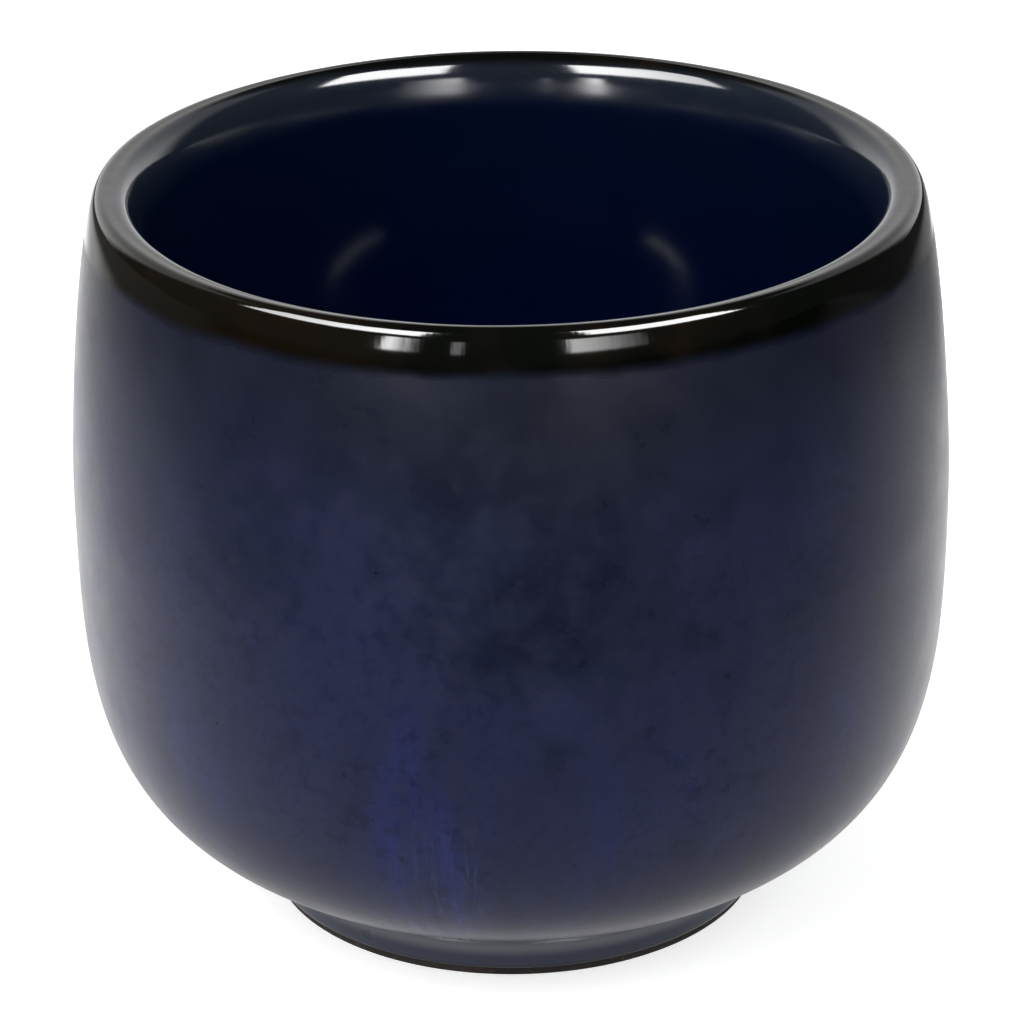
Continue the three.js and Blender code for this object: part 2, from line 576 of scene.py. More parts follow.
@dataclass(frozen=True)
class RimGlaze:
    """Glossy brown-black of the lip, redder where it runs thin."""

    cup: CupBench
    dark: Colour = (0.0010, 0.0016, 0.0010)
    brown: Colour = (0.0046, 0.0033, 0.0018)
    russet: Colour = (0.0090, 0.0050, 0.0026)

    cloud: Pattern = Pattern(8.0 * MM, 3.0, 0.55, 9.2)
    runs: Runs = Runs(0.05, 6.0 * MM, 3.0, 0.6, 3.9)
    grain: Pattern = Pattern(0.9 * MM, 2.0, 0.5, 7.7)
    warm_side: Side = Side(-62.0, Ramp(1.1, 0.5, 0.0, 0.25))
    to_brown: Ramp = Ramp(0.45, 0.7)
    thin_cloud: Ramp = Ramp(0.5, 0.72)
    thin_runs: Ramp = Ramp(0.4, 0.7)

    roughness: float = 0.07
    rough_swing: float = 0.03
    runs_height: float = 0.012 * MM
    grain_height: float = 0.0006 * MM

    def layer(self) -> Layer:
        """Lay the glaze.

        Returns:
            The finish.
        """
        cup = self.cup
        cloud = self.cloud.at(cup.place)
        runs = self.runs.on(cup)
        grain = self.grain.at(cup.place)
        share = self.to_brown.of(cloud + self.warm_side.on(cup))
        thin = self.thin_cloud.of(cloud) * self.thin_runs.of(runs)
        colour = cup.mix(thin, cup.mix(share, self.dark, self.brown), self.russet)
        rough = grain.about(self.roughness, self.rough_swing)
        return Layer(colour, rough, runs * self.runs_height + grain * self.grain_height)


@dataclass(frozen=True)
class LiningGlaze:
    """Glossy deep blue of the inside, paler where it thins under the lip."""

    cup: CupBench
    pool: Colour = (0.0004, 0.0018, 0.0140)
    deep: Colour = (0.0005, 0.0023, 0.0170)
    upper: Colour = (0.0009, 0.0035, 0.0150)
    edge: Colour = (0.0110, 0.0150, 0.0230)

    cloud: Pattern = Pattern(12.0 * MM, 3.0, 0.55, 4.8)
    cloud_share: Ramp = Ramp(0.52, 0.7, 0.0, 0.5)
    runs: Runs = Runs(0.09, 14.0 * MM, 3.0, 0.6, 2.2)
    runs_swing: float = 2.5 * MM
    grain: Pattern = Pattern(1.1 * MM, 2.0, 0.5, 6.1)
    to_deep: Ramp = Ramp(14.0 * MM, 34.0 * MM)
    to_upper: Ramp = Ramp(34.0 * MM, 51.0 * MM)
    to_edge: Ramp = Ramp(50.6 * MM, 54.8 * MM)

    roughness: float = 0.1
    rough_swing: float = 0.04
    throat_top: Ramp = Ramp(53.2 * MM, 52.6 * MM)
    throat_end: Ramp = Ramp(50.2 * MM, 51.2 * MM)
    throat_rough: float = 0.08
    cloud_height: float = 0.02 * MM
    grain_height: float = 0.0008 * MM

    def layer(self) -> Layer:
        """Lay the glaze.

        Returns:
            The finish.
        """
        cup = self.cup
        cloud = self.cloud.at(cup.place)
        grain = self.grain.at(cup.place)
        level = cup.height + self.runs.on(cup).about(0.0, self.runs_swing)
        colour = cup.mix(self.to_deep.of(level), self.pool, self.deep)
        colour = cup.mix(self.to_upper.of(level), colour, self.upper)
        colour = cup.mix(self.to_edge.of(level), colour, self.edge)
        colour = cup.mix(self.cloud_share.of(cloud), colour, self.pool)
        throat = self.throat_top.of(cup.height) * self.throat_end.of(cup.height)
        rough = grain.about(self.roughness, self.rough_swing) + throat * self.throat_rough
        return Layer(colour, rough, cloud * self.cloud_height + grain * self.grain_height)


@dataclass(frozen=True)
class FiredClay:
    """Bare stoneware or slip: dark, dry and gritty."""

    name: str
    body: Colour
    light: Colour
    dark: Colour

    cloud: Pattern = Pattern(5.0 * MM, 3.0, 0.6, 1.9)
    to_body: Ramp = Ramp(0.35, 0.68)
    grit: Pattern = Pattern(0.35 * MM, 3.0, 0.6, 3.3)
    light_grit: Ramp = Ramp(0.55, 0.75)
    dark_grit: Ramp = Ramp(0.42, 0.26)
    roughness: float = 0.86
    rough_swing: float = 0.12
    grit_height: float = 0.05 * MM
    specular: float = 0.3

    def material(self) -> bpy.types.Material:
        """Make the material.

        Returns:
            It.
        """
        bench = MaterialBench(self.name)
        grit = self.grit.at(bench.place)
        colour = bench.mix(self.to_body.of(self.cloud.at(bench.place)), self.dark, self.body)
        colour = bench.mix(self.light_grit.of(grit), colour, self.light)
        colour = bench.mix(self.dark_grit.of(grit), colour, self.dark)
        rough = grit.about(self.roughness, self.rough_swing)
        return bench.finished(Layer(colour, rough, grit * self.grit_height), self.specular)


@dataclass(frozen=True)
class GlazeKitchen:
    """The coats' materials, in which each glaze runs into its neighbour along an uneven line."""

    satin: float = 0.4
    gloss: float = 0.5
    rim_wave: Pattern = Pattern(7.0 * MM, 3.0, 0.55, 5.1)
    rim_swing: float = 1.2 * MM
    rim_level: Ramp = Ramp(51.25 * MM, 52.4 * MM)
    lip_wave: Pattern = Pattern(5.0 * MM, 3.0, 0.55, 8.4)
    lip_swing: float = 0.5 * MM
    lip_radius: Ramp = Ramp(28.2 * MM, 27.5 * MM)
    bore_level: Ramp = Ramp(53.4 * MM, 52.4 * MM)

    def banded(self, cup: CupBench) -> Layer:
        """Lay the navy, and the rim's glaze over its top.

        Args:
            cup: The material's tree.

        Returns:
            Both together.
        """
        shift = self.rim_wave.at(cup.place).about(0.0, self.rim_swing)
        share = self.rim_level.of(cup.height + shift)
        return RimGlaze(cup).layer().over(share, NavyGlaze(cup).layer())

    def lining_share(self, cup: CupBench) -> Signal:
        """Tell how much of the lining covers on the lip, from the crest inwards."""
        shift = self.lip_wave.at(cup.place).about(0.0, self.lip_swing)
        return self.lip_radius.of(cup.radius + shift)

    def outside(self) -> bpy.types.Material:
        """Make the navy coat, which runs under the rim's glaze at its top."""
        cup = CupBench("satin_navy_glaze")
        return cup.finished(self.banded(cup), self.satin)

    def lip(self) -> bpy.types.Material:
        """Make the rim's coat, between the navy and the lining.

        Returns:
            The material.
        """
        cup = CupBench("dark_rim_glaze")
        layer = LiningGlaze(cup).layer().over(self.lining_share(cup), self.banded(cup))
        return cup.finished(layer, self.gloss)

    def inside(self) -> bpy.types.Material:
        """Make the lining, which runs under the rim's glaze on the lip and is whole below it.

        Returns:
            The material.
        """
        cup = CupBench("deep_blue_lining")
        share = cup.math("MAXIMUM", self.lining_share(cup), self.bore_level.of(cup.height))
        layer = LiningGlaze(cup).layer().over(share, RimGlaze(cup).layer())
        return cup.finished(layer, self.gloss)


def spot(radius: float, height: float) -> Vector:
    """Name a point of the cup's section."""
    return Vector((radius, height))


def pulled(start: Vector, distance: float, degrees: float) -> Vector:
    """Move a section point by a distance, at an angle up from straight outwards."""
    angle = math.radians(degrees)
    return start + distance * spot(math.cos(angle), math.sin(angle))


def curve(start: Vector, out: Vector, into: Vector, end: Vector, count: int) -> list[Vector]:
    """Sample a cubic curve of a section, by its ends, their handles and its number of points."""
    knots = [point.to_3d() for point in (start, out, into, end)]
    return [point.to_2d() for point in interpolate_bezier(*knots, count)]


def joined(*stretches: list[Vector]) -> list[Vector]:
    """Join stretches that each start where the one before ends.

    Args:
        stretches: Lines of section points.

    Returns:
        One line, with each shared point once.
    """
    line = list(stretches[0])
    for stretch in stretches[1:]:
        line.extend(stretch[1:])
    return line


def air_normals(line: Sequence[Vector]) -> list[Vector]:
    """Find the unit normals on the right of a line's way, which is its air side.

    Args:
        line: Section points.

    Returns:
        One normal for each point.
    """
    last = len(line) - 1
    ways = [line[min(i + 1, last)] - line[max(i - 1, 0)] for i in range(last + 1)]
    return [spot(way.y, -way.x).normalized() for way in ways]


@dataclass(frozen=True)
class Outline:
    """A line to turn round the cup's axis, with the air on its right.

    Attributes:
        points: Radius and height of each point.
        normals: The way each point moves when the surface undulates, or no length to stay.
    """

    points: list[Vector]
    normals: list[Vector]

    @classmethod
    def of(cls, air: list[Vector], hidden: list[Vector]) -> "Outline":
        """Make an outline of a face that undulates, and one after it that stays."""
        return cls([*air, *hidden], air_normals(air) + [spot(0.0, 0.0)] * len(hidden))

    def then(self, other: "Outline") -> "Outline":
        """Let another outline go on from here."""
        return Outline(self.points + other.points, self.normals + other.normals)

    def closed(self) -> "Outline":
        """Take the outline back to its first point."""
        return self.then(Outline(self.points[:1], self.normals[:1]))


@dataclass(frozen=True)
class Fineness:
    """How many points the longest curves of a face have."""

    wall: int
    lip: int
    bore: int


@dataclass(frozen=True)
class LipPulls:
    """How far a lip's curves pull out of the band, the crest and the mouth."""

    band_up: float
    crest_out: float
    crest_in: float
    mouth_up: float


@dataclass(frozen=True)
class CupSection:
    """The cup's section. Its sizes come from the frame, and its curves repeat the clay's."""

    foot_radius: float = Piece.FOOT.high.x
    foot_bore: float = Piece.BASE.high.x
    ring_level: float = Piece.FOOT.high.z
    base_level: float = Piece.BASE.high.z
    base_air: float = Piece.BASE.low.z
    wipe_level: float = Piece.OUTSIDE.low.z
    belly_radius: float = Piece.BOWL.high.x
    crest_level: float = Piece.BOWL.high.z
    band_level: float = Piece.RIM.low.z
    floor_level: float = Piece.INSIDE.low.z
    coat: float = Piece.OUTSIDE.high.x - Piece.BOWL.high.x

    foot_round: float = 0.4 * MM
    belly_level: float = 32.0 * MM
    belly_wall: float = 3.0 * MM
    lip_radius: float = 29.85 * MM
    lip_lean: float = 9.7
    crest_radius: float = 28.37 * MM
    mouth_radius: float = 26.9 * MM
    mouth_depth: float = 3.2 * MM
    crest_coat: float = 0.37 * MM
    rim_share: float = 0.25

    underside_rise: float = 21.0
    underside_pull: float = 13.7 * MM
    belly_pull_down: float = 15.75 * MM
    belly_pull_up: float = 3.1 * MM
    shoulder_pull: float = 7.4 * MM
    mouth_pull_down: float = 5.0 * MM
    bore_pull_up: float = 6.0 * MM
    bore_pull_down: float = 21.0 * MM
    floor_pull: float = 25.0 * MM
    clay_pulls: LipPulls = LipPulls(3.2 * MM, 0.3 * MM, 0.95 * MM, 0.2 * MM)
    air_pulls: LipPulls = LipPulls(3.4 * MM, 0.72 * MM, 1.36 * MM, 0.35 * MM)
    clay: Fineness = Fineness(48, 21, 40)
    air: Fineness = Fineness(150, 57, 72)

    @property
    def band(self) -> Vector:
        """Where the rim band starts on the outside of the clay."""
        return spot(self.lip_radius, self.band_level)

    @property
    def mouth(self) -> Vector:
        """The narrowest place of the clay inside."""
        return spot(self.mouth_radius, self.crest_level - self.mouth_depth)

    def wall(self, count: int) -> list[Vector]:
        """Sample the outside of the clay from the crease to the rim band.

        Args:
            count: Points on the longer of its two curves.

        Returns:
            The points, upwards.
        """
        crease = spot(self.foot_radius, self.base_level)
        belly = spot(self.belly_radius, self.belly_level)
        under = pulled(crease, self.underside_pull, self.underside_rise)
        below = pulled(belly, self.belly_pull_down, DOWN)
        above = pulled(belly, self.belly_pull_up, UP)
        shoulder = pulled(self.band, self.shoulder_pull, self.lip_lean + DOWN)
        lower = curve(crease, under, below, belly, count)
        return joined(lower, curve(belly, above, shoulder, self.band, count // 2))

    def lip(
        self, start: Vector, crest: Vector, mouth: Vector, pulls: LipPulls, count: int
    ) -> tuple[list[Vector], list[Vector]]:
        """Sample a lip.

        Args:
            start: Where it leaves the band.
            crest: Its top.
            mouth: Its narrowest place.
            pulls: The fullness of its curves.
            count: Points on each of its two curves.

        Returns:
            The roll from the band up to the crest, and the throat from there down.
        """
        out = pulled(start, pulls.band_up, self.lip_lean + UP)
        roll = curve(start, out, pulled(crest, pulls.crest_out, OUTWARD), crest, count)
        into = pulled(mouth, pulls.mouth_up, UP)
        return roll, curve(crest, pulled(crest, pulls.crest_in, INWARD), into, mouth, count)

    def clay_lip(self) -> tuple[list[Vector], list[Vector]]:
        """Sample the clay's lip, as its roll and its throat."""
        crest = spot(self.crest_radius, self.crest_level)
        return self.lip(self.band, crest, self.mouth, self.clay_pulls, self.clay.lip)

    def air_lip(self) -> tuple[list[Vector], list[Vector]]:
        """Sample the glazed lip, which is rounder than the clay under it.

        Returns:
            Its roll and its throat.
        """
        start = pulled(self.band, self.coat, self.lip_lean)
        crest = spot(self.crest_radius, self.crest_level + self.crest_coat)
        mouth = self.mouth - spot(self.coat, 0.0)
        return self.lip(start, crest, mouth, self.air_pulls, self.air.lip)

    def parted(self, throat: list[Vector]) -> tuple[list[Vector], list[Vector]]:
        """Part a throat into the rim's points and the lining's, which share one."""
        stop = round(self.rim_share * (len(throat) - 1))
        return throat[: stop + 1], throat[stop:]

    def bore(self, mouth: Vector, inset: float, count: int) -> list[Vector]:
        """Sample a line down the inside of the cup.

        Args:
            mouth: Where it starts.
            inset: How far it lies inside the clay.
            count: Points on the longer of its two curves.

        Returns:
            The points, down to the middle of the floor.
        """
        side = spot(self.belly_radius - self.belly_wall - inset, self.belly_level)
        floor = spot(0.0, self.floor_level + inset)
        above = pulled(side, self.bore_pull_up, UP)
        below = pulled(side, self.bore_pull_down, DOWN)
        upper = curve(mouth, pulled(mouth, self.mouth_pull_down, DOWN), above, side, count // 2)
        flat = pulled(floor, self.floor_pull, OUTWARD)
        return joined(upper, curve(side, below, flat, floor, count))

    def clay_bore(self) -> list[Vector]:
        """Sample the inside of the clay, from the mouth to the middle of the floor."""
        return self.bore(self.mouth, 0.0, self.clay.bore)


def new_object(name: str, data: bpy.types.ID) -> bpy.types.Object:
    """Put a new object into the scene.

    Args:
        name: Its name.
        data: Its mesh, light or camera.

    Returns:
        The object.
    """
    thing = bpy.data.objects.new(name, data)
    bpy.context.scene.collection.objects.link(thing)
    return thing


@dataclass(frozen=True)
class Turning:
    """How finely a piece is turned, how oval its mouth is and how its glazed face undulates."""

    segments: int = 288
    oval: float = 0.45 * MM
    depth: float = 0.045 * MM
    reach: float = 9.0 * MM
    seed: float = 3.7
    sharp: float = math.radians(38)


class Lathe:
    """A Geometry Nodes tree that turns an outline round the cup's axis."""

    AIR = "air_side"
    POINT_VECTORS = {"data_type": "FLOAT_VECTOR", "domain": "POINT"}
    INPUTS = {
        "Outline": "Geometry",
        "Segments": "Int",
        "Oval": "Float",
        "Relief Depth": "Float",
        "Relief Scale": "Float",
        "Seed": "Float",
        "Sharp Angle": "Float",
        "Material": "Material",
    }
    WELD = 0.0005 * MM
    RELIEF_DETAIL = 2.0
    OVAL_WAVES = 2.0
    MOUTH_INSIDE = Ramp(28.9 * MM, 27.9 * MM)
    MOUTH_LEVEL = Ramp(38.0 * MM, 50.0 * MM)

    def __init__(self) -> None:
        """Build the tree once, for every piece."""
        self.tree = bpy.data.node_groups.new("turn_outline", "GeometryNodeTree")
        self.bench = Bench(self.tree)
        self.inputs = {name: self._socket(name, "INPUT", self.INPUTS[name]) for name in self.INPUTS}
        self._socket("Cup", "OUTPUT", "Geometry")
        outputs = self.bench.node("NodeGroupInput").outputs
        self.entry = {name: Signal(self.bench, outputs[name]) for name in self.INPUTS}
        self.bench.node("NodeGroupOutput", {0: self._dressed(self._undulating(self._shell()))})

    def _socket(self, name: str, way: str, kind: str) -> str:
        """Give the tree an input or output, and tell its identifier."""
        sockets = self.tree.interface
        return sockets.new_socket(name, in_out=way, socket_type="NodeSocket" + kind).identifier

    def _on(self, shape: Signal, kind: str, feeds: Feeds, **settings: object) -> Signal:
        """Add a node that works on a geometry."""
        feeds = {"Geometry": shape, **feeds}
        return self.bench.signal("GeometryNode" + kind, feeds, **settings)

    def _shell(self) -> Signal:
        """Lay a grid along the outline and round the axis, and close it.

        Returns:
            The shell, whose points know the way in which they move.
        """
        bench, outline, segments = self.bench, self.entry["Outline"], self.entry["Segments"]
        rows = self._on(outline, "AttributeDomainSize", {}, component="MESH")
        columns = bench.whole("ADD", segments, 1)
        shell = bench.signal("GeometryNodeMeshGrid", {"Vertices X": columns, "Vertices Y": rows})
        index = bench.signal("GeometryNodeInputIndex")
        row = bench.whole("MODULO", index, rows)
        column = bench.whole("DIVIDE_FLOOR", index, rows)
        angle = bench.math("DIVIDE", column, segments) * math.tau
        place = self._squeezed(self._taken(bench.signal("GeometryNodeInputPosition"), row), angle)
        shell = self._on(shell, "SetPosition", {"Position": self._turned(place, angle)})
        ways = self._turned(self._taken(self._way(), row), angle)
        feeds = {"Name": self.AIR, "Value": ways}
        shell = self._on(shell, "StoreNamedAttribute", feeds, **self.POINT_VECTORS)
        return self._on(shell, "MergeByDistance", {"Distance": self.WELD})

    def _undulating(self, shell: Signal) -> Signal:
        """Let the air side of a shell undulate.

        Args:
            shell: The shell.

        Returns:
            The shell with its relief.
        """
        bench, entry = self.bench, self.entry
        feeds = {"Scale": entry["Relief Scale"], "W": entry["Seed"], "Detail": self.RELIEF_DETAIL}
        noise = bench.signal("ShaderNodeTexNoise", feeds, noise_dimensions="4D")
        swell = noise.about(0.0, 1.0) * entry["Relief Depth"]
        lift = bench.vector("SCALE", {0: self._way(), "Scale": swell})
        shell = self._on(shell, "SetPosition", {"Offset": lift})
        return self._on(shell, "RemoveAttribute", {"Name": self.AIR})

    def _dressed(self, shell: Signal) -> Signal:
        """Shade a shell smooth up to its sharp edges, and give it its material.

        Args:
            shell: The shell.

        Returns:
            The finished piece.
        """
        fold = self.bench.signal("GeometryNodeInputMeshEdgeAngle", None, "Unsigned Angle")
        feeds = {0: fold, 1: self.entry["Sharp Angle"]}
        crisp = self.bench.signal("FunctionNodeCompare", feeds, operation="GREATER_THAN")
        feeds = {"Selection": crisp, "Shade Smooth": False}
        shell = self._on(shell, "SetShadeSmooth", feeds, domain="EDGE")
        shell = self._on(shell, "SetShadeSmooth", {"Shade Smooth": True}, domain="FACE")
        shell = self._on(shell, "RealizeInstances", {})
        return self._on(shell, "SetMaterial", {"Material": self.entry["Material"]})

    def _way(self) -> Signal:
        """Read the way that a point moves."""
        kind = "GeometryNodeInputNamedAttribute"
        return self.bench.signal(kind, {"Name": self.AIR}, "Attribute", data_type="FLOAT_VECTOR")

    def _taken(self, value: Signal, row: Signal) -> Signal:
        """Take a vector from a point of the outline, still in the outline's plane."""
        feeds = {"Value": value, "Index": row}
        return self._on(self.entry["Outline"], "SampleIndex", feeds, **self.POINT_VECTORS)

    def _squeezed(self, place: Signal, angle: Signal) -> Signal:
        """Make the mouth a little narrower from side to side than from front to back.

        Args:
            place: A point of the outline.
            angle: How far round it goes.

        Returns:
            The moved point.
        """
        radius, _, height = self.bench.parts(place)
        wave = self.bench.math("COSINE", angle * self.OVAL_WAVES)
        reach = self.MOUTH_INSIDE.of(radius) * self.MOUTH_LEVEL.of(height) * self.entry["Oval"]
        return self.bench.signal("ShaderNodeCombineXYZ", {"X": radius - reach * wave, "Z": height})

    def _turned(self, vector: Signal, angle: Signal) -> Signal:
        """Turn a vector of the outline's plane round the axis."""
        feeds = {"Vector": vector, "Angle": angle}
        return self.bench.signal("ShaderNodeVectorRotate", feeds, rotation_type="Z_AXIS")

    def turn(
        self, piece: Piece, outline: Outline, turning: Turning, material: bpy.types.Material
    ) -> None:
        """Turn an outline into a closed, plain mesh, and place it as a piece.

        Args:
            piece: Which one.
            outline: What is turned.
            turning: How finely, and with what relief.
            material: The piece's finish.
        """
        name = piece.value[0]
        line = bpy.data.meshes.new(name + "_outline")
        verts = [(point.x, 0.0, point.y) for point in outline.points]
        line.from_pydata(verts, [(i, i + 1) for i in range(len(verts) - 1)], [])
        ways = line.attributes.new(self.AIR, "FLOAT_VECTOR", "POINT")
        for datum, way in zip(ways.data, outline.normals):
            datum.vector = (way.x, 0.0, way.y)
        thing = new_object(name, line)
        modifier = thing.modifiers.new("turn", "NODES")
        modifier.node_group = self.tree
        settings = {
            "Segments": turning.segments,
            "Oval": turning.oval,
            "Relief Depth": turning.depth,
            "Relief Scale": 1.0 / turning.reach,
            "Seed": turning.seed,
            "Sharp Angle": turning.sharp,
            "Material": material,
        }
        for key, value in settings.items():
            modifier[self.inputs[key]] = value
        thing.update_tag()
        graph = bpy.context.evaluated_depsgraph_get()
        mesh = bpy.data.meshes.new_from_object(thing.evaluated_get(graph))
        thing.modifiers.remove(modifier)
        thing.data = mesh
        mesh.name = name
        bpy.data.meshes.remove(line)
        piece.place(thing)


@dataclass(frozen=True)
class ClayBody:
    """The fired clay: bowl, foot ring and the slip between them."""

    section: CupSection
    lathe: Lathe
    turning: Turning = Turning(segments=160, depth=0.0)
    edge_points: int = 7
    stoneware: FiredClay = FiredClay(
        "bare_stoneware", (0.055, 0.046, 0.040), (0.095, 0.082, 0.070), (0.028, 0.023, 0.020)
    )
    slip: FiredClay = FiredClay(
        "luting_slip_clay", (0.100, 0.087, 0.074), (0.140, 0.122, 0.104), (0.060, 0.051, 0.044)
    )

    def build(self) -> None:
        """Make and dress the three pieces."""
        clay = self.stoneware.material()
        self.lathe.turn(Piece.BOWL, self.bowl(), self.turning, clay)
        self.lathe.turn(Piece.FOOT, self.foot(), self.turning, clay)
        self.lathe.turn(Piece.SLIP, self.joint(), self.turning, self.slip.material())

    def bowl(self) -> Outline:
        """Draw the wall and floor, from the middle of the base round to the middle of the floor.

        Returns:
            The outline.
        """
        section = self.section
        skin = joined(section.wall(section.clay.wall), *section.clay_lip(), section.clay_bore())
        return Outline.of([], [spot(0.0, section.base_level), *skin])

    def foot(self) -> Outline:
        """Draw the ring, with both bottom edges rounded.

        Returns:
            The outline.
        """
        section, count = self.section, self.edge_points
        inner, outer = spot(section.foot_bore, 0.0), spot(section.foot_radius, 0.0)
        rise, reach = spot(0.0, section.ring_level), section.foot_round
        line = [
            *curve(pulled(inner, reach, UP), inner, inner, pulled(inner, reach, OUTWARD), count),
            *curve(pulled(outer, reach, INWARD), outer, outer, pulled(outer, reach, UP), count),
            outer + rise,
            inner + rise,
        ]
        return Outline.of([], line).closed()

    def joint(self) -> Outline:
        """Draw the layer of slip under the base.

        Returns:
            The outline.
        """
        section = self.section
        line = [
            spot(section.foot_bore, section.ring_level),
            spot(section.foot_radius, section.ring_level),
            spot(section.foot_radius, section.base_level),
            spot(section.foot_bore, section.base_level),
        ]
        return Outline.of([], line).closed()


@dataclass(frozen=True)
class GlazeCoats:
    """The four coats that lie on the clay."""

    section: CupSection
    lathe: Lathe
    kitchen: GlazeKitchen = GlazeKitchen()
    turning: Turning = Turning()

    bead_rise: float = 0.45 * MM
    bead_pull: float = 0.3 * MM
    bead_sag: float = 0.02 * MM
    bead_points: int = 9
    shoulder_out: float = 0.09 * MM
    shoulder_level: float = 2.72 * MM
    shoulder_pulls: tuple[float, float, float] = (0.6 * MM, 0.5 * MM, 0.16 * MM)
    shoulder_points: int = 14
    groove_in: float = 0.02 * MM
    groove_level: float = 3.08 * MM
    groove_pulls: tuple[float, float] = (0.12 * MM, 0.35 * MM)
    groove_points: int = 10
    fillet_width: float = 2.0 * MM
    fillet_pull: float = 1.0 * MM
    fillet_points: int = 16
    pool_width: float = 6.0 * MM
    pool_pulls: tuple[float, float] = (3.0 * MM, 2.0 * MM)
    pool_points: int = 12

    def build(self) -> None:
        """Make and dress the coats."""
        navy = self.kitchen.outside()
        self.lathe.turn(Piece.OUTSIDE, self.outside(), self.turning, navy)
        self.lathe.turn(Piece.RIM, self.rim(), self.turning, self.kitchen.lip())
        self.lathe.turn(Piece.INSIDE, self.inside(), self.turning, self.kitchen.inside())
        self.lathe.turn(Piece.BASE, self.base(), self.turning, navy)

    @property
    def foot_wall(self) -> float:
        """The radius of the glazed foot."""
        return self.section.foot_radius + self.section.coat

    @property
    def groove(self) -> Vector:
        """The groove between the glazed foot and the bowl."""
        return spot(self.foot_wall - self.groove_in, self.groove_level)

    def outside(self) -> Outline:
        """Draw the navy coat, from its bead at the wiped foot up to the rim band.

        Returns:
            The outline.
        """
        wipe = spot(self.section.foot_radius, self.section.wipe_level)
        clay = self.section.wall(self.section.clay.wall)
        air = joined(self.foot_face(wipe), self.belly_face())
        return Outline.of(air, [*reversed(clay), wipe]).closed()

    def foot_face(self, wipe: Vector) -> list[Vector]:
        """Draw the glazed foot: bead, wall, turned shoulder and groove.

        Args:
            wipe: Where the glaze stops on the clay.

        Returns:
            The points up to the groove under the bowl.
        """
        bead = spot(self.foot_wall, wipe.y + self.bead_rise)
        shoulder = spot(self.foot_wall + self.shoulder_out, self.shoulder_level)
        up, below, above = self.shoulder_pulls
        swell = wipe + spot(self.bead_pull, -self.bead_sag)
        wall = pulled(bead, up, UP), pulled(shoulder, below, DOWN)
        turn = pulled(shoulder, above, UP), pulled(self.groove, self.groove_pulls[0], DOWN)
        return joined(
            curve(wipe, swell, pulled(bead, self.bead_pull, DOWN), bead, self.bead_points),
            curve(bead, *wall, shoulder, self.shoulder_points),
            curve(shoulder, *turn, self.groove, self.groove_points),
        )

    def belly_face(self) -> list[Vector]:
        """Draw the glazed bowl, from the groove over a small pooled fillet up to the rim band.

        Returns:
            The points.
        """
        section = self.section
        clay = section.wall(section.air.wall)
        face = [point + section.coat * way for point, way in zip(clay, air_normals(clay))]
        reach = section.foot_radius + self.fillet_width
        start = next(i for i, point in enumerate(face) if point.x > reach)
        way = (face[start + 1] - face[start]).normalized()
        out = pulled(self.groove, self.groove_pulls[1], UP)
        into = face[start] - self.fillet_pull * way
        return joined(curve(self.groove, out, into, face[start], self.fillet_points), face[start:])

    def rim(self) -> Outline:
        """Draw the rim's coat over the lip.

        Returns:
            The outline.
        """
        section = self.section
        air, clay = (
            joined(roll, section.parted(throat)[0])
            for roll, throat in (section.air_lip(), section.clay_lip())
        )
        return Outline.of(air, clay[::-1]).closed()

    def inside(self) -> Outline:
        """Draw the lining, from the middle of the floor up the clay and down its own face.

        Returns:
            The outline.
        """
        section = self.section
        throat, clay_throat = section.air_lip()[1], section.clay_lip()[1]
        bore = section.bore(throat[-1], section.coat, section.air.bore)
        air = joined(section.parted(throat)[1], bore)
        clay = joined(section.parted(clay_throat)[1], section.clay_bore())
        return Outline.of([], clay[::-1]).then(Outline.of(air, []))

    def base(self) -> Outline:
        """Draw the coat under the base, with a pooled edge against the foot.

        Returns:
            The outline.
        """
        section, (out, into) = self.section, self.pool_pulls
        edge = spot(section.foot_bore, section.base_air)
        inner = pulled(edge, self.pool_width, INWARD)
        handles = pulled(inner, out, OUTWARD), pulled(edge, into, INWARD)
        pool = curve(inner, *handles, edge, self.pool_points)
        top = [spot(section.foot_bore, section.base_level), spot(0.0, section.base_level)]
        return Outline.of([spot(0.0, section.base_air), *pool], top)


